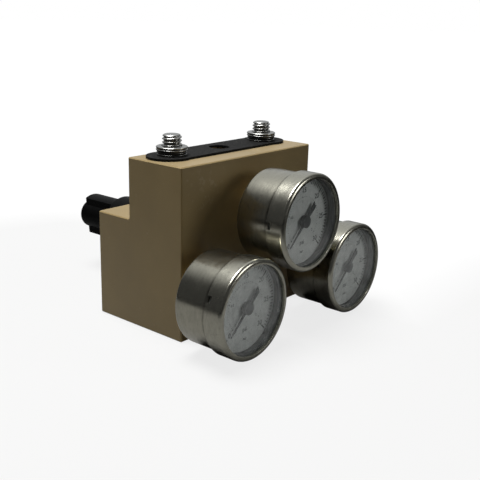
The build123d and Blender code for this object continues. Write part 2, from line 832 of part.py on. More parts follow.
regulator = Pos(0, 0, regulator_height)
save("bonnet", regulator * make_bonnet())
save("adjusting_screw", regulator * make_screw())
save("adjusting_knob", regulator * make_knob())
save("spring_nut", regulator * make_spring_nut())
save("range_spring", regulator * make_range_spring())
save("slip_ring", regulator * make_slip_ring())
save("diaphragm", regulator * make_diaphragm())
save("diaphragm_plate", regulator * make_diaphragm_plate())
save("diaphragm_rivet", regulator * make_diaphragm_rivet())
save("valve_seat", regulator * make_valve_seat())
save("valve_seat_seal", regulator * make_seat_seal())
save("valve_poppet", regulator * make_poppet())
save("poppet_spring", regulator * make_poppet_spring())
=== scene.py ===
import json
import math

import bmesh
import bpy
from mathutils import Matrix, Vector


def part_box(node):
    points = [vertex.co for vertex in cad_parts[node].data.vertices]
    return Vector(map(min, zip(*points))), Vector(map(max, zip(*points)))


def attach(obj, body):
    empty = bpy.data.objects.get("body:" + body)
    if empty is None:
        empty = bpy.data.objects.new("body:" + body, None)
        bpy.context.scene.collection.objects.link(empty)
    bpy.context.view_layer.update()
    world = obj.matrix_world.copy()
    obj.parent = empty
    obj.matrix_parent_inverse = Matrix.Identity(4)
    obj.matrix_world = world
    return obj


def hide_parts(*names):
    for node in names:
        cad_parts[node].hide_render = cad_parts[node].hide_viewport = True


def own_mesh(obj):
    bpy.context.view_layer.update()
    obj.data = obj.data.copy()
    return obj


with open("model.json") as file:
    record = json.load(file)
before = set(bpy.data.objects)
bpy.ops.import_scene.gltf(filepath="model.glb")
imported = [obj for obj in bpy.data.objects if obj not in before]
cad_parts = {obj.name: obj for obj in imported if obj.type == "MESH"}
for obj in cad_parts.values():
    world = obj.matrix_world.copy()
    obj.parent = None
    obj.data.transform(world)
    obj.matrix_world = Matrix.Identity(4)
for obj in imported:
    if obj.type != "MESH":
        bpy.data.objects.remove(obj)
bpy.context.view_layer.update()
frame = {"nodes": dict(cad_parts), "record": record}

MM = 0.001
nodes = frame["nodes"]
gauges = ("supply", "outlet", "signal")
block_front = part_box("manifold_block")[0].y

# Camera, solved from the photograph's block edges, gauge rims and studs
camera_azimuth = math.radians(-49.946)
camera_elevation = math.radians(16.525)
camera_roll = math.radians(1.467)
camera_place = Vector((-244.149, -224.710, 127.954)) * MM
camera_lens = 57.92
camera_sensor = 36.0
camera_nearest, camera_farthest = 0.01, 20


def place_camera():
    level = math.cos(camera_elevation)
    back = Vector((math.sin(camera_azimuth) * level,
                   -math.cos(camera_azimuth) * level, math.sin(camera_elevation)))
    right = Vector((0, 0, 1)).cross(back).normalized()
    up = back.cross(right)
    tilted_right = math.cos(camera_roll) * right + math.sin(camera_roll) * up
    tilted_up = -math.sin(camera_roll) * right + math.cos(camera_roll) * up
    turn = Matrix((tilted_right, tilted_up, back)).transposed()
    data = bpy.data.cameras.new("camera")
    data.lens = camera_lens
    data.sensor_width = camera_sensor
    data.clip_start, data.clip_end = camera_nearest, camera_farthest
    camera = bpy.data.objects.new("camera", data)
    camera.matrix_world = Matrix.Translation(camera_place) @ turn.to_4x4()
    bpy.context.scene.collection.objects.link(camera)
    bpy.context.scene.camera = camera


# Node helpers; a Mix node's colour sockets have numbers, since others share their names
mix_colour_inputs = (6, 7)
mix_colour_output = 2


def new_material(name):
    material = bpy.data.materials.new(name)
    material.use_nodes = True
    tree = material.node_tree
    return material, tree, tree.nodes["Principled BSDF"]


def link(tree, source, target):
    tree.links.new(source, target)


def object_coordinates(tree, stretch=(1, 1, 1)):
    """The part's own coordinates in metres, stretched along each axis."""
    coordinates = tree.nodes.new("ShaderNodeTexCoord")
    mapping = tree.nodes.new("ShaderNodeMapping")
    mapping.inputs["Scale"].default_value = stretch
    link(tree, coordinates.outputs["Object"], mapping.inputs["Vector"])
    return mapping.outputs["Vector"]


def split_coordinates(tree):
    """The part's own coordinates, one output for each of X, Y and Z."""
    node = tree.nodes.new("ShaderNodeSeparateXYZ")
    link(tree, object_coordinates(tree), node.inputs[0])
    return node.outputs


def distance_from(tree, point):
    node = tree.nodes.new("ShaderNodeVectorMath")
    node.operation = "DISTANCE"
    node.inputs[1].default_value = point
    link(tree, object_coordinates(tree), node.inputs[0])
    return node.outputs["Value"]


def noise(tree, scale, detail=4, roughness=0.55, stretch=(1, 1, 1)):
    vector = object_coordinates(tree, stretch)
    texture = tree.nodes.new("ShaderNodeTexNoise")
    texture.inputs["Scale"].default_value = scale
    texture.inputs["Detail"].default_value = detail
    texture.inputs["Roughness"].default_value = roughness
    link(tree, vector, texture.inputs["Vector"])
    return texture.outputs["Fac"]


def ramp(tree, value, stops):
    """Colour ramp with (position, colour) stops."""
    node = tree.nodes.new("ShaderNodeValToRGB")
    elements = node.color_ramp.elements
    while len(elements) < len(stops):
        elements.new(0.5)
    for element, (position, colour) in zip(elements, stops):
        element.position = position
        element.color = (*colour, 1)
    link(tree, value, node.inputs["Fac"])
    return node.outputs["Color"]


def spread(tree, value, low, high, from_low=0.0, from_high=1.0):
    """Map a value's range from_low to from_high onto low to high, clamped at both ends."""
    node = tree.nodes.new("ShaderNodeMapRange")
    node.inputs["From Min"].default_value = from_low
    node.inputs["From Max"].default_value = from_high
    node.inputs["To Min"].default_value = low
    node.inputs["To Max"].default_value = high
    link(tree, value, node.inputs["Value"])
    return node.outputs["Result"]


def mix_colour(tree, factor, first, second):
    """Blend from the first colour to the second; each is a socket or a fixed colour."""
    node = tree.nodes.new("ShaderNodeMix")
    node.data_type = "RGBA"
    link(tree, factor, node.inputs["Factor"])
    for number, value in zip(mix_colour_inputs, (first, second)):
        if isinstance(value, tuple):
            node.inputs[number].default_value = (*value, 1)
        else:
            link(tree, value, node.inputs[number])
    return node.outputs[mix_colour_output]


def math_node(tree, operation, first, second):
    node = tree.nodes.new("ShaderNodeMath")
    node.operation = operation
    for socket, value in zip(node.inputs, (first, second)):
        if isinstance(value, (int, float)):
            socket.default_value = value
        else:
            link(tree, value, socket)
    return node.outputs[0]


def mix_shader(tree, factor, first, second):
    node = tree.nodes.new("ShaderNodeMixShader")
    link(tree, factor, node.inputs["Fac"])
    link(tree, first, node.inputs[1])
    link(tree, second, node.inputs[2])
    return node.outputs["Shader"]


def bump(tree, shader, height, strength, distance):
    node = tree.nodes.new("ShaderNodeBump")
    node.inputs["Strength"].default_value = strength
    node.inputs["Distance"].default_value = distance
    link(tree, height, node.inputs["Height"])
    link(tree, node.outputs["Normal"], shader.inputs["Normal"])


def scaled(colour, share):
    return tuple(c * share for c in colour)


# Materials
def block_finish():
    """Bronze anodised aluminium with a fine satin grain and a few faint scuffs."""
    deep_bronze, pale_bronze = (0.205, 0.144, 0.052), (0.238, 0.168, 0.062)
    scuff_colour = (0.29, 0.216, 0.11)
    scuff_centre = (-28 * MM, block_front, 62 * MM)
    material, tree, shader = new_material("anodised_block")
    grain = noise(tree, 2600, detail=3)
    cloud = noise(tree, 38, detail=5, roughness=0.6)
    tint = ramp(tree, cloud, [(0.35, deep_bronze), (0.65, pale_bronze)])
    fleck = noise(tree, 420, detail=6, roughness=0.7)
    rubbed = spread(tree, distance_from(tree, scuff_centre), 0.12, 0.0,
                    from_low=4 * MM, from_high=15 * MM)
    scuffs = spread(tree, math_node(tree, "ADD", fleck, rubbed), 0, 0.8,
                    from_low=0.64, from_high=0.74)
    link(tree, mix_colour(tree, scuffs, tint, scuff_colour), shader.inputs["Base Color"])
    shader.inputs["Metallic"].default_value = 0.1
    shader.inputs["Sheen Weight"].default_value = 0.36
    shader.inputs["Sheen Roughness"].default_value = 0.4
    link(tree, spread(tree, cloud, 0.38, 0.52), shader.inputs["Roughness"])
    bump(tree, shader, grain, strength=0.10, distance=0.08 * MM)
    return material


def brushed(name, colour, rough, line_scale, painted_shade_edge=None):
    """Stainless steel dulled by use: fine marks round the axis under faint stains and pits.
    Its last argument is the depth of the bezel's rear edge: a dark band of painted shade is laid
    on the case up to about 1.9 mm behind that edge, broken into patches."""
    # colour of the painted shade band behind the bezel's rear edge
    painted_shade_colour = (0.06, 0.056, 0.045)
    material, tree, shader = new_material(name)
    lines = noise(tree, 1.0, roughness=0.6, stretch=(90, line_scale, 90))
    stains = noise(tree, 1.0, detail=5, roughness=0.68, stretch=(230, 420, 230))
    dents = noise(tree, 75, roughness=0.6)
    tint = ramp(tree, lines, [(0.35, scaled(colour, 0.90)), (0.65, scaled(colour, 1.08))])
    stained = spread(tree, stains, 0, 0.55, from_low=0.40, from_high=0.70)
    tint = mix_colour(tree, stained, tint, scaled(colour, 0.66))
    pits = noise(tree, 900, roughness=0.7)
    pitted = spread(tree, pits, 0, 0.6, from_low=0.58, from_high=0.70)
    tint = mix_colour(tree, pitted, tint, scaled(colour, 0.40))
    shine = spread(tree, stains, rough * 0.85, rough * 1.2, from_low=0.35, from_high=0.68)
    # painted shade: a dark band on the case just behind the bezel's rear edge, broken into
    # patches by the stain pattern
    if painted_shade_edge is not None:
        depth = split_coordinates(tree)["Y"]
        line = spread(tree, depth, 0.95, 0.0, from_low=painted_shade_edge + 1.0 * MM,
                      from_high=painted_shade_edge + 1.9 * MM)
        patches = spread(tree, stains, 0.2, 1.0, from_low=0.35, from_high=0.6)
        tint = mix_colour(tree, math_node(tree, "MULTIPLY", line, patches), tint, painted_shade_colour)
    link(tree, tint, shader.inputs["Base Color"])
    shader.inputs["Metallic"].default_value = 1.0
    link(tree, shine, shader.inputs["Roughness"])
    grain = noise(tree, 1.0, detail=3, roughness=0.6, stretch=(900, 2600, 900))
    relief = math_node(tree, "ADD", dents, math_node(tree, "MULTIPLY", grain, 0.12))
    bump(tree, shader, relief, strength=0.17, distance=0.05 * MM)
    return material


def plated(name, colour, rough):
    """Plain bright metal with a faintly uneven tone and gloss."""
    material, tree, shader = new_material(name)
    cloud = noise(tree, 260, detail=5, roughness=0.65)
    tint = ramp(tree, cloud, [(0.35, scaled(colour, 0.82)), (0.7, colour)])
    link(tree, tint, shader.inputs["Base Color"])
    shader.inputs["Metallic"].default_value = 1.0
    link(tree, spread(tree, cloud, rough * 0.8, rough * 1.25), shader.inputs["Roughness"])
    bump(tree, shader, noise(tree, 2200, detail=3), strength=0.04, distance=0.01 * MM)
    return material


def black_plastic():
    """Moulded black plastic with a fine grain and hardly any gloss."""
    deep_black, pale_black = (0.0015, 0.0015, 0.0015), (0.003, 0.003, 0.003)
    material, tree, shader = new_material("black_plastic")
    grain = noise(tree, 3200, detail=2)
    cloud = noise(tree, 140)
    tint = ramp(tree, cloud, [(0.3, deep_black), (0.7, pale_black)])
    link(tree, tint, shader.inputs["Base Color"])
    link(tree, spread(tree, cloud, 0.36, 0.48), shader.inputs["Roughness"])
    shader.inputs["Specular IOR Level"].default_value = 0.03
    bump(tree, shader, grain, strength=0.18, distance=0.06 * MM)
    return material


def black_rubber():
    """Gasket rubber with a coarse matt texture and pale dust in it."""
    rubber, dusty = (0.002, 0.002, 0.002), (0.009, 0.0088, 0.0082)
    dust_colour = (0.035, 0.034, 0.031)
    material, tree, shader = new_material("black_rubber")
    grain = noise(tree, 1500, roughness=0.7)
    dust = noise(tree, 900, roughness=0.7)
    tint = ramp(tree, dust, [(0.45, rubber), (0.60, dusty), (0.70, dust_colour)])
    link(tree, tint, shader.inputs["Base Color"])
    link(tree, spread(tree, grain, 0.6, 0.9), shader.inputs["Roughness"])
    shader.inputs["Specular IOR Level"].default_value = 0.10
    bump(tree, shader, grain, strength=0.7, distance=0.14 * MM)
    return material


def dial_enamel():
    """White paint, slightly uneven in tone and gloss."""
    material, tree, shader = new_material("dial_white")
    cloud = noise(tree, 260, detail=5, roughness=0.65)
    tint = ramp(tree, cloud, [(0.3, (0.80, 0.81, 0.79)), (0.7, (0.90, 0.91, 0.89))])
    link(tree, tint, shader.inputs["Base Color"])
    link(tree, spread(tree, cloud, 0.45, 0.6), shader.inputs["Roughness"])
    return material


def matt_grey(name, level, rough):
    """Matt finish at a level of grey, slightly mottled."""
    material, tree, shader = new_material(name)
    cloud = noise(tree, 700, detail=3)
    grey = (level,) * 3
    tint = ramp(tree, cloud, [(0.3, scaled(grey, 0.7)), (0.7, scaled(grey, 1.3))])
    link(tree, tint, shader.inputs["Base Color"])
    link(tree, spread(tree, cloud, rough * 0.85, rough * 1.15), shader.inputs["Roughness"])
    return material


def clear_lens(name, film_low, film_high):
    """Thin clear window with a gloss that grows at grazing angles, and a film of dust."""
    glass_tint, dust_tint = (0.965, 0.975, 0.97, 1), (0.62, 0.66, 0.64, 1)
    gloss_ior = 1.85
    material, tree = new_material(name)[:2]
    tree.nodes.clear()
    output = tree.nodes.new("ShaderNodeOutputMaterial")
    see = tree.nodes.new("ShaderNodeBsdfTransparent")
    see.inputs["Color"].default_value = glass_tint
    gloss = tree.nodes.new("ShaderNodeBsdfGlossy")
    haze = noise(tree, 130, roughness=0.6)
    link(tree, spread(tree, haze, 0.04, 0.12), gloss.inputs["Roughness"])
    fresnel = tree.nodes.new("ShaderNodeFresnel")
    fresnel.inputs["IOR"].default_value = gloss_ior
    geometry = tree.nodes.new("ShaderNodeNewGeometry")
    outside = math_node(tree, "SUBTRACT", 1.0, geometry.outputs["Backfacing"])
    sheen = math_node(tree, "MULTIPLY", fresnel.outputs["Fac"], outside)
    dust = tree.nodes.new("ShaderNodeBsdfDiffuse")
    dust.inputs["Color"].default_value = dust_tint
    patches = noise(tree, 210, detail=6, roughness=0.72)
    film = spread(tree, patches, film_low, film_high, from_low=0.36, from_high=0.66)
    film = math_node(tree, "MULTIPLY", film, outside)
    coated = mix_shader(tree, film, see.outputs["BSDF"], dust.outputs["BSDF"])
    window = mix_shader(tree, sheen, coated, gloss.outputs["BSDF"])
    link(tree, window, output.inputs["Surface"])
    return material


def make_materials():
    # depth of the bezel's rear edge, where the painted shade band on the case begins
    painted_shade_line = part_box("supply_gauge_bezel")[1].y
    return {
        "anodised_block": block_finish(),
        "stainless_case": brushed("stainless_case", (0.352, 0.340, 0.282), 0.22, 3800, painted_shade_line),
        "stainless_bezel": brushed("stainless_bezel", (0.362, 0.352, 0.295), 0.23, 5200),
        "plated_steel": plated("plated_steel", (0.36, 0.36, 0.345), 0.28),
        "dark_steel": plated("dark_steel", (0.12, 0.12, 0.115), 0.30),
        "spring_steel": plated("spring_steel", (0.42, 0.42, 0.44), 0.30),
        "machined_aluminium": plated("machined_aluminium", (0.70, 0.71, 0.73), 0.32),
        "brass": plated("brass", (0.62, 0.44, 0.17), 0.42),
        "bronze_tube": plated("bronze_tube", (0.56, 0.34, 0.17), 0.3),
        "black_rubber": black_rubber(),
        "black_plastic": black_plastic(),
        "acetal": matt_grey("acetal", 0.55, 0.45),
        "dial_white": dial_enamel(),
        "pointer_black": matt_grey("pointer_black", 0.012, 0.5),
        "clear_lens": clear_lens("clear_lens", 0.08, 0.22),
        "hazed_lens": clear_lens("hazed_lens", 0.08, 0.38),
        "bezel_packing": matt_grey("bezel_packing", 0.05, 0.6),
        # rougher steel for the case's bore, darkened in colour as painted shade inside the
        # window's recess
        "dull_shaded_bore": plated("dull_shaded_bore", (0.17, 0.17, 0.155), 0.55),
    }


# Nodes that differ from the finish of their slot: the packing is greyer, two windows are hazed
special_finish = {f"{gauge}_window_gasket": "bezel_packing" for gauge in gauges}
special_finish["outlet_gauge_lens"] = "hazed_lens"
special_finish["signal_gauge_lens"] = "hazed_lens"


def dress_nodes(materials):
    """Every solid gets the finish of its slot in the record."""
    for part in frame["record"]["subparts"]:
        mesh = nodes[part["node"]].data
        mesh.materials.clear()
        finish = special_finish.get(part["node"], part["material_slot"])
        mesh.materials.append(materials[finish])


# Piece helpers
weld_distance = 0.002 * MM
sharp_angle = math.radians(35)
ring_segments = 96


def finish_piece(piece, materials, slot, body, replaced=()):
    """Give a new piece its material, its body and the solids that it stands for."""
    piece.data.materials.clear()
    piece.data.materials.append(materials[slot])
    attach(piece, body)
    if replaced:
        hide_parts(*replaced)


def mesh_piece(name, vertices, faces, smooth=True):
    mesh = bpy.data.meshes.new(name)
    mesh.from_pydata(vertices, [], faces)
    mesh.update()
    for polygon in mesh.polygons:
        polygon.use_smooth = smooth
    piece = bpy.data.objects.new(name, mesh)
    bpy.context.scene.collection.objects.link(piece)
    return piece


def clean_mesh(mesh):
    """Weld points that all but touch and turn the faces outward."""
    work = bmesh.new()
    work.from_mesh(mesh)
    bmesh.ops.remove_doubles(work, verts=work.verts, dist=weld_distance)
    bmesh.ops.recalc_face_normals(work, faces=work.faces)
    work.to_mesh(mesh)
    work.free()


def even_angles(count):
    return [2 * math.pi * k / count for k in range(count)]


def rounded(corner, before, after, radius, steps=6):
    """Points that round a profile's corner between its two neighbours."""
    corner, before, after = Vector(corner), Vector(before), Vector(after)
    first = corner + (before - corner).normalized() * radius
    last = corner + (after - corner).normalized() * radius
    points = []
    for k in range(steps + 1):
        t = k / steps
        points.append(tuple(first * (1 - t) ** 2 + corner * 2 * t * (1 - t) + last * t ** 2))
    return points


def ease(first, last, steps):
    """Points of a smooth S-curve between two points of a profile."""
    points = []
    for k in range(steps + 1):
        along = k / steps
        across = (1 - math.cos(math.pi * along)) / 2
        points.append((first[0] + (last[0] - first[0]) * across,
                       first[1] + (last[1] - first[1]) * along))
    return points


def spin(name, columns, place, closed=True):
    """Ring mesh from (angle, profile) columns; each profile is a closed loop of points."""
    rows = len(columns[0][1])
    vertices, faces = [], []
    for angle, profile in columns:
        across, up = math.cos(angle), math.sin(angle)
        for radius, depth in profile:
            vertices.append(place(radius * across, radius * up, depth))
    spans = len(columns) if closed else len(columns) - 1
    for column in range(spans):
        near, far = column * rows, (column + 1) % len(columns) * rows
        for row in range(rows):
            nxt = (row + 1) % rows
            faces.append((near + row, near + nxt, far + nxt, far + row))
    if not closed:
        faces.append(tuple(reversed(range(rows))))
        faces.append(tuple((len(columns) - 1) * rows + row for row in range(rows)))
    piece = mesh_piece(name, vertices, faces)
    clean_mesh(piece.data)
    piece.data.set_sharp_from_angle(angle=sharp_angle)
    return piece


def along_y(x, z):
    """Places a ring's points about an axis along Y, with their depth as Y."""
    return lambda across, up, depth: (x + across, depth, z + up)


def gauge_place(node):
    low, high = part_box(node)
    return along_y((low.x + high.x) / 2, (low.z + high.z) / 2)


# Studs: real thread turns above the washers, on the plain body below
stud_pitch = 1.411 * MM
stud_segments = 72
stud_steps_per_pitch = 18
thread_depth = 0.58 * stud_pitch
thread_crest = 0.14
body_depth_share = 0.62
thread_below_washer = 0.6 * MM
stud_tip_length = 1.25 * MM
stud_tip_share = 0.58
stud_face_share = 0.93


def thread_cut(phase):
    """Share of the thread's depth cut away at a phase from 0 to 1 along the pitch."""
    return max(0.0, (1 - abs(2 * phase - 1) - thread_crest) / (1 - thread_crest))


def make_studs(materials):
    low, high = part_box("mounting_studs")
    top_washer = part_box("flat_washers")[1].z
    major = (high.y - low.y) / 2
    centre_y = (high.y + low.y) / 2
    body_radius = major - thread_depth * body_depth_share
    stud_x = high.x - major
    start = top_washer - thread_below_washer
    rows = int((high.z - start) / stud_pitch * stud_steps_per_pitch)
    turns = even_angles(stud_segments)
    around = [(k, (k + 1) % stud_segments) for k in range(stud_segments)]
    for side, sign in (("left", -1), ("right", 1)):
        centre_x = sign * stud_x
        vertices, faces = [], []
        for row in range(rows + 1):
            z = start + (high.z - start) * row / rows
            climb = max(0.0, z - (high.z - stud_tip_length)) / stud_tip_length
            dome = stud_tip_share + (1 - stud_tip_share) * math.sqrt(1 - min(1.0, climb) ** 2)
            for turn in turns:
                phase = ((z - start) / stud_pitch - turn / (2 * math.pi)) % 1
                radius = min(major - thread_depth * thread_cut(phase), major * dome)
                vertices.append((centre_x + radius * math.cos(turn),
                                 centre_y + radius * math.sin(turn), z))
        for row in range(rows):
            for k, nxt in around:
                a, b = row * stud_segments + k, row * stud_segments + nxt
                faces.append((a, b, b + stud_segments, a + stud_segments))
        # flat end face inside the domed tip
        last = rows * stud_segments
        inner = len(vertices)
        for x, y, z in vertices[last:last + stud_segments]:
            vertices.append((centre_x + (x - centre_x) * stud_face_share,
                             centre_y + (y - centre_y) * stud_face_share, z))
        for k, nxt in around:
            faces.append((last + k, last + nxt, inner + nxt, inner + k))
        faces.append(tuple(inner + k for k in range(stud_segments)))
        # plain body below the thread, joined to its first row
        bottom = len(vertices)
        top = bottom + stud_segments
        for z in (low.z, start):
            for turn in turns:
                vertices.append((centre_x + body_radius * math.cos(turn),
                                 centre_y + body_radius * math.sin(turn), z))
        for k, nxt in around:
            faces.append((bottom + k, bottom + nxt, top + nxt, top + k))
            faces.append((top + k, top + nxt, nxt, k))
        faces.append(tuple(bottom + k for k in reversed(range(stud_segments))))
        stud = mesh_piece(f"{side}_stud_thread", vertices, faces)
        finish_piece(stud, materials, "plated_steel", "housing", ("mounting_studs",))


# Springs: coils copied from the solids; each is listed with its joint
spring_joints = {"range_spring": "nut_slide", "poppet_spring": "valve_slide"}


def make_springs(materials):
    for node, joint_name in spring_joints.items():
        coils = bpy.data.objects.new(f"{node}_coils", nodes[node].data.copy())
        bpy.context.scene.collection.objects.link(coils)
        finish_piece(coils, materials, "spring_steel", "housing", (node,))
        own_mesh(coils)


# Diaphragm: its middle moves with the plate and its rim stays clamped
diaphragm_split = 0.05 * MM
diaphragm_hole = 1.45 * MM


def make_diaphragm(materials):
    low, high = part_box("diaphragm")
    rim_radius = (high.x - low.x) / 2
    plate_low, plate_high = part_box("diaphragm_plate")
    plate_radius = (plate_high.x - plate_low.x) / 2
    place = along_y(0, (high.z + low.z) / 2)
    for name, body, inner, outer in (
            ("diaphragm_middle", "diaphragm_piston", diaphragm_hole, plate_radius),
            ("diaphragm_rim", "housing", plate_radius + diaphragm_split, rim_radius)):
        profile = [(inner, low.y), (outer, low.y), (outer, high.y), (inner, high.y)]
        ring = spin(name, [(angle, profile) for angle in even_angles(ring_segments)], place)
        finish_piece(ring, materials, "black_rubber", body, ("diaphragm",))


# Washers: split lock washers under flat ones on each stud
washer_clearance = 0.25 * MM
washer_gap = 0.05 * MM
washer_shoulder = 0.95 * MM
washer_rim_steps = 16
split_half_gap = 0.35 * MM
lock_washer_turns = (-30, 110)
flat_washer_turns = (None, None)


def washer_profile(bottom, top, outer, hole):
    """Washer with a full-round rim; its upper face slopes down over the shoulder's width."""
    middle = (bottom + top) / 2
    half = (top - bottom) / 2
    points = [(hole, top), (hole, bottom)]
    for k in range(washer_rim_steps + 1):
        turn = math.pi * (k / washer_rim_steps - 0.5)
        reach = washer_shoulder if turn > 0 else half
        points.append((outer - reach + reach * math.cos(turn), middle + half * math.sin(turn)))
    return points


def make_washers(materials):
    stud_low, stud_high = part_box("mounting_studs")
    hole = (stud_high.y - stud_low.y) / 2 + washer_clearance
    centre_y = (stud_high.y + stud_low.y) / 2
    stud_x = stud_high.x - (stud_high.y - stud_low.y) / 2
    for node, slot, turns in (("lock_washers", "dark_steel", lock_washer_turns),
                              ("flat_washers", "plated_steel", flat_washer_turns)):
        low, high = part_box(node)
        outer = (high.y - low.y) / 2
        thickness = (high.z - low.z) / 2
        for side, sign in (("left", -1), ("right", 1)):
            centre_x = sign * stud_x
            for level, turn in enumerate(turns):
                bottom = low.z + level * thickness
                profile = washer_profile(bottom, bottom + thickness - washer_gap, outer, hole)
                angles = even_angles(ring_segments)
                if turn is not None:
                    gap = split_half_gap / outer
                    start = math.radians(turn) + gap
                    span = 2 * math.pi - 2 * gap
                    angles = [start + span * k / (ring_segments - 1)
                              for k in range(ring_segments)]
                ring = spin(f"{side}_{node[:-1]}_{level + 1}",
                            [(angle, profile) for angle in angles],
                            lambda across, along, height: (centre_x + across, centre_y + along,
                                                           height),
                            closed=turn is None)
                finish_piece(ring, materials, slot, "housing", (node,))


# Gauge cases: stainless cups, turned down under the bezel
case_wall = 0.8 * MM
case_hole = 4.6 * MM
case_corner = 1.4 * MM
case_corner_steps = 8
case_segments = 180
seat_depth, seat_overlap = 0.45 * MM, 0.15 * MM


def make_cases(materials):
    for gauge in gauges:
        node = f"{gauge}_gauge_case"
        low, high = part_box(node)
        skirt_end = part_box(f"{gauge}_gauge_bezel")[1].y - seat_overlap
        outer = (high.x - low.x) / 2
        bore, floor = outer - case_wall, high.y - case_wall
        seat = outer - seat_depth
        profile = [(case_hole, high.y)]
        profile += rounded((outer, high.y), (case_hole, high.y), (outer, low.y), case_corner,
                           case_corner_steps)
        profile += [(outer, skirt_end), (seat, skirt_end), (seat, low.y), (bore, low.y),
                    (bore, floor), (case_hole, floor)]
        columns = [(angle, profile) for angle in even_angles(case_segments)]
        case = spin(f"{gauge}_case_cup", columns, gauge_place(node))
        finish_piece(case, materials, "stainless_case", "housing", (node,))
        # the bore and the seat under the bezel get a rougher steel, darker in colour as painted
        # shade in the recess; the rear and the side keep the case's finish
        case.data.materials.append(materials["dull_shaded_bore"])
        x, z = (low.x + high.x) / 2, (low.z + high.z) / 2
        for polygon in case.data.polygons:
            reach = math.hypot(polygon.center.x - x, polygon.center.z - z)
            ahead = polygon.center.y < high.y - case_wall / 2
            if ahead and reach < outer - seat_depth / 2:
                polygon.material_index = 1


# Gauge bezels: rings rolled over the window, with notches in the rear edge
bezel_wall = 0.9 * MM
bezel_segments = 216
lip_thickness, lip_width = 1.0 * MM, 2.2 * MM
crest_share = 0.80
bead_depth, bead_steps = 1.25 * MM, 12
bead_run, bead_run_steps = 0.7 * MM, 4
edge_rounding = 0.08 * MM
window_rounding, window_steps = 0.08 * MM, 4
flare_length, flare_land, flare_steps = 2.1 * MM, 0.3 * MM, 6
skirt_waists = {"supply": 0.012 * MM, "outlet": 0.006 * MM, "signal": 0.012 * MM}
notch_angles = {"supply": 176, "outlet": 157, "signal": 165}
notch_count = 3
notch_width, notch_length = 2.6 * MM, 2.2 * MM
notch_wall_turn = 1e-7


def bezel_profile(front, rear, outer, skirt_waist):
    """Lip rolled over the window, a slightly waisted skirt and a flared rear edge."""
    inner = outer - bezel_wall
    window = outer - lip_width
    crest = outer - crest_share * lip_width
    waist = outer - skirt_waist
    points = [(inner, rear), (outer - edge_rounding, rear), (outer, rear - edge_rounding)]
    for k in range(flare_steps):
        points.append((outer - skirt_waist * (1 - math.cos(k / flare_steps * math.pi / 2)),
                       rear - flare_land - (flare_length - flare_land) * k / flare_steps))
    points.append((waist, rear - flare_length))
    points += ease((waist, front + bead_depth + bead_run), (outer, front + bead_depth),
                   bead_run_steps)
    for k in range(1, bead_steps + 1):
        turn = math.pi / 2 * k / bead_steps
        points.append((crest + (outer - crest) * math.cos(turn),
                       front + bead_depth * (1 - math.sin(turn))))
    points += rounded((window, front), (crest, front), (window, front + lip_thickness),
                      window_rounding, window_steps)
    points += [(window, front + lip_thickness), (inner, front + lip_thickness)]
    return points


def make_bezels(materials):
    for gauge in gauges:
        node = f"{gauge}_gauge_bezel"
        low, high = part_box(node)
        outer = (high.x - low.x) / 2
        whole = bezel_profile(low.y, high.y, outer, skirt_waists[gauge])
        cut = [(radius, min(y, high.y - notch_length)) for radius, y in whole]
        half = notch_width / 2 / outer
        centres = [math.radians((notch_angles[gauge] + 360 / notch_count * k) % 360)
                   for k in range(notch_count)]
        columns = []
        for angle in even_angles(bezel_segments):
            inside = any(abs((angle - c + math.pi) % (2 * math.pi) - math.pi) <= half
                         for c in centres)
            columns.append((angle, cut if inside else whole))
        # two columns at each side of a notch, a hair apart, make its straight wall
        for centre in centres:
            for side, pair in ((-1, (whole, cut)), (1, (cut, whole))):
                edge = (centre + side * half) % (2 * math.pi)
                columns += [(edge + notch_wall_turn * k, profile)
                            for k, profile in enumerate(pair)]
        columns.sort(key=lambda column: column[0])
        bezel = spin(f"{gauge}_bezel_ring", columns, gauge_place(node))
        finish_piece(bezel, materials, "stainless_bezel", "housing", (node,))


# Dials: tick marks, dots and numbers printed on the face; radii are shares of the dial's
scale_start = math.radians(225)
scale_sweep = math.radians(270)
print_height = 0.03 * MM
psi_ticks, psi_ticks_per_number, psi_full_scale = 60, 10, 30
psi_numbers = psi_ticks // psi_ticks_per_number
tick_end = 0.955
long_tick, middle_tick, short_tick = (0.81, 0.55 * MM), (0.86, 0.38 * MM), (0.885, 0.28 * MM)
psi_number_radius, psi_number_size = 0.715, 2.9 * MM
bar_step, bar_dots, bar_dots_per_number, bar_dots_full_scale = 0.05, 41, 10, 41.4
bar_dot_radius, large_dot, small_dot, dot_sides = 0.565, 0.30 * MM, 0.17 * MM, 8
bar_number_radius, bar_number_size = 0.455, 1.5 * MM
psi_word_drop, psi_word_size = 0.50, 2.6 * MM
bar_word_drop, bar_word_size = 0.72, 1.7 * MM
letter_boldness = 0.022
letter_steps = 3


def scale_angle(share):
    return scale_start - scale_sweep * share


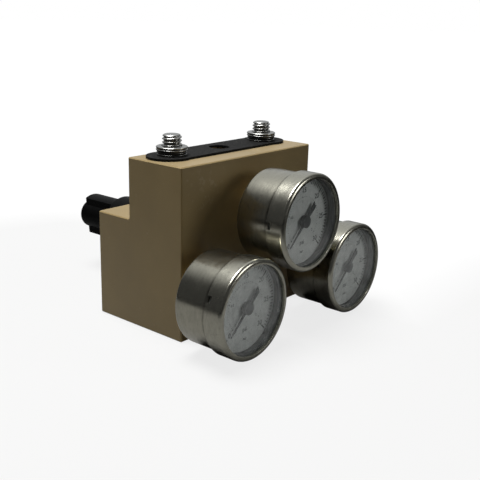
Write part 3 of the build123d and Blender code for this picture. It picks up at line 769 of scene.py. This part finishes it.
class Print:
    """Flat black marks gathered into one mesh in a dial's own plane."""

    def __init__(self, centre_x, centre_z, front):
        self.centre = (centre_x, centre_z)
        self.y = front - print_height
        self.vertices = []
        self.faces = []

    def add(self, points, faces):
        first = len(self.vertices)
        for x, z in points:
            self.vertices.append((self.centre[0] + x, self.y, self.centre[1] + z))
        for face in faces:
            self.faces.append(tuple(first + k for k in face))

    def tick(self, angle, inner, outer, width):
        c, s = math.cos(angle), math.sin(angle)
        corners = []
        for r, side in ((inner, -1), (outer, -1), (outer, 1), (inner, 1)):
            corners.append((r * c - side * width / 2 * s, r * s + side * width / 2 * c))
        self.add(corners, [(0, 1, 2, 3)])

    def dot(self, angle, radius, size):
        x, z = radius * math.cos(angle), radius * math.sin(angle)
        points = [(x + size * math.cos(turn), z + size * math.sin(turn))
                  for turn in even_angles(dot_sides)]
        self.add(points, [tuple(range(dot_sides))])

    def words(self, text, x, z, size):
        curve = bpy.data.curves.new("print_text", "FONT")
        curve.body = text
        curve.size = size
        curve.align_x = "CENTER"
        curve.align_y = "CENTER"
        curve.offset = size * letter_boldness
        curve.resolution_u = letter_steps
        holder = bpy.data.objects.new("print_text", curve)
        bpy.context.scene.collection.objects.link(holder)
        depsgraph = bpy.context.evaluated_depsgraph_get()
        mesh = bpy.data.meshes.new_from_object(holder.evaluated_get(depsgraph))
        points = [(x + v.co.x, z + v.co.y) for v in mesh.vertices]
        self.add(points, [tuple(p.vertices) for p in mesh.polygons])
        bpy.data.objects.remove(holder)
        bpy.data.curves.remove(curve)
        bpy.data.meshes.remove(mesh)

    def words_at(self, text, angle, radius, size):
        self.words(text, radius * math.cos(angle), radius * math.sin(angle), size)


def print_dials(materials):
    for gauge in gauges:
        low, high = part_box(f"{gauge}_dial")
        radius = (high.x - low.x) / 2
        marks = Print((high.x + low.x) / 2, (high.z + low.z) / 2, low.y)
        for k in range(psi_ticks + 1):
            if k % psi_ticks_per_number == 0:
                inner, width = long_tick
            elif k % 2 == 0:
                inner, width = middle_tick
            else:
                inner, width = short_tick
            marks.tick(scale_angle(k / psi_ticks), inner * radius, tick_end * radius, width)
        for k in range(psi_numbers + 1):
            marks.words_at(str(psi_full_scale // psi_numbers * k), scale_angle(k / psi_numbers),
                           psi_number_radius * radius, psi_number_size)
        for k in range(bar_dots):
            size = large_dot if k % bar_dots_per_number == 0 else small_dot
            marks.dot(scale_angle(k / bar_dots_full_scale), bar_dot_radius * radius, size)
        for k in range(0, bar_dots, bar_dots_per_number):
            marks.words_at(f"{k * bar_step:g}", scale_angle(k / bar_dots_full_scale),
                           bar_number_radius * radius, bar_number_size)
        marks.words("psi", 0, -psi_word_drop * radius, psi_word_size)
        marks.words("bar", 0, -bar_word_drop * radius, bar_word_size)
        piece = mesh_piece(f"{gauge}_dial_print", marks.vertices, marks.faces, False)
        finish_piece(piece, materials, "pointer_black", "housing")


# Stage: pale floor, white backdrop and soft lamps
floor_reach = 6.0
floor_drop = 0.2 * MM
sheet_centre = (-0.04, -0.02, 0)
sheet_edge, sheet_fade = 0.19, 0.04
sheet_front = -0.19
sheet_left_end, sheet_front_end = 0.04, -0.05
floor_level, mirrored_floor_level = 0.07, 0.16
sheet_glow = 0.80
room_colour = (0.96, 0.98, 1.0, 1)
room_strength = 0.018
mirrored_room, mirrored_backdrop = 0.06, 0.72
backdrop_direction = (0.50, 0.45, 0.74)
backdrop_start, backdrop_full = 0.5, 0.95
white = (1, 1, 1, 1)
lamp_target = (0, 0, 0.04)


def backdrop_rays(tree):
    """Two values: 1 for rays straight from the camera or through glass, 1 for mirrored rays."""
    path = tree.nodes.new("ShaderNodeLightPath")
    straight = math_node(tree, "MAXIMUM", path.outputs["Is Camera Ray"],
                         path.outputs["Is Transmission Ray"])
    return straight, path.outputs["Is Glossy Ray"]


def make_floor():
    """Pale to the camera; to the object black, with a grey sheet under its left and front."""
    corners = [(x * floor_reach, y * floor_reach, 0)
               for x, y in ((-1, -1), (1, -1), (1, 1), (-1, 1))]
    floor = mesh_piece("floor", corners, [(0, 1, 2, 3)], False)
    floor.location.z = -floor_drop
    material, tree, shader = new_material("floor_paper")
    shader.inputs["Roughness"].default_value = 0.9
    shader.inputs["Specular IOR Level"].default_value = 0.1
    straight, glossy = backdrop_rays(tree)
    place = split_coordinates(tree)
    distance = distance_from(tree, sheet_centre)
    around = spread(tree, distance, 1.0, 0.0, sheet_edge, sheet_edge + sheet_fade)
    ahead = spread(tree, place["Y"], 0.0, 1.0, sheet_front, sheet_front + sheet_fade)
    left = spread(tree, place["X"], 1.0, 0.0, sheet_left_end, sheet_left_end + sheet_fade)
    front = spread(tree, place["Y"], 1.0, 0.0, sheet_front_end - sheet_fade, sheet_front_end)
    beside = math_node(tree, "MAXIMUM", left, front)
    paper = math_node(tree, "MULTIPLY", math_node(tree, "MULTIPLY", around, ahead), beside)
    mirrored = math_node(tree, "MULTIPLY", glossy, mirrored_floor_level)
    level = math_node(tree, "MULTIPLY", math_node(tree, "ADD", mirrored, floor_level), paper)
    link(tree, mix_colour(tree, level, (0.0, 0.0, 0.0), (1.0, 1.0, 0.985)),
         shader.inputs["Base Color"])
    shader.inputs["Emission Color"].default_value = white
    glow = spread(tree, paper, 1.0, sheet_glow)
    link(tree, math_node(tree, "MULTIPLY", straight, glow), shader.inputs["Emission Strength"])
    floor.data.materials.append(material)


def make_world():
    """Dim room round the object, with the white backdrop behind it."""
    world = bpy.data.worlds.new("studio")
    world.use_nodes = True
    tree = world.node_tree
    tree.nodes.clear()
    output = tree.nodes.new("ShaderNodeOutputWorld")
    room = tree.nodes.new("ShaderNodeBackground")
    room.inputs["Color"].default_value = room_colour
    direction = tree.nodes.new("ShaderNodeTexCoord").outputs["Generated"]
    toward = tree.nodes.new("ShaderNodeVectorMath")
    toward.operation = "DOT_PRODUCT"
    toward.inputs[1].default_value = backdrop_direction
    link(tree, direction, toward.inputs[0])
    behind = spread(tree, toward.outputs["Value"], 0.0, 1.0, backdrop_start, backdrop_full)
    straight, glossy = backdrop_rays(tree)
    mirrored = math_node(tree, "MULTIPLY", behind, mirrored_backdrop)
    mirrored = math_node(tree, "ADD", mirrored, mirrored_room)
    mirrored = math_node(tree, "MULTIPLY", mirrored, glossy)
    link(tree, math_node(tree, "ADD", mirrored, room_strength), room.inputs["Strength"])
    backdrop = tree.nodes.new("ShaderNodeBackground")
    backdrop.inputs["Color"].default_value = white
    backdrop.inputs["Strength"].default_value = 1.0
    seen = mix_shader(tree, straight, room.outputs["Background"], backdrop.outputs["Background"])
    link(tree, seen, output.inputs["Surface"])
    bpy.context.scene.world = world


def add_lamp(name, position, size, power):
    data = bpy.data.lights.new(name, "AREA")
    data.shape = "DISK"
    data.size = size
    data.energy = power
    lamp = bpy.data.objects.new(name, data)
    lamp.location = position
    direction = Vector(lamp_target) - Vector(position)
    lamp.rotation_euler = direction.to_track_quat("-Z", "Y").to_euler()
    bpy.context.scene.collection.objects.link(lamp)


bpy.context.scene.view_settings.view_transform = "Standard"
place_camera()
make_world()
make_floor()
add_lamp("overhead_lamp", (-0.15, 0.12, 0.88), size=0.52, power=15.5)
add_lamp("front_lamp", (0.50, -0.98, 0.35), size=0.4, power=2.7)
finishes = make_materials()
dress_nodes(finishes)
make_studs(finishes)
make_springs(finishes)
make_diaphragm(finishes)
make_washers(finishes)
make_cases(finishes)
make_bezels(finishes)
print_dials(finishes)
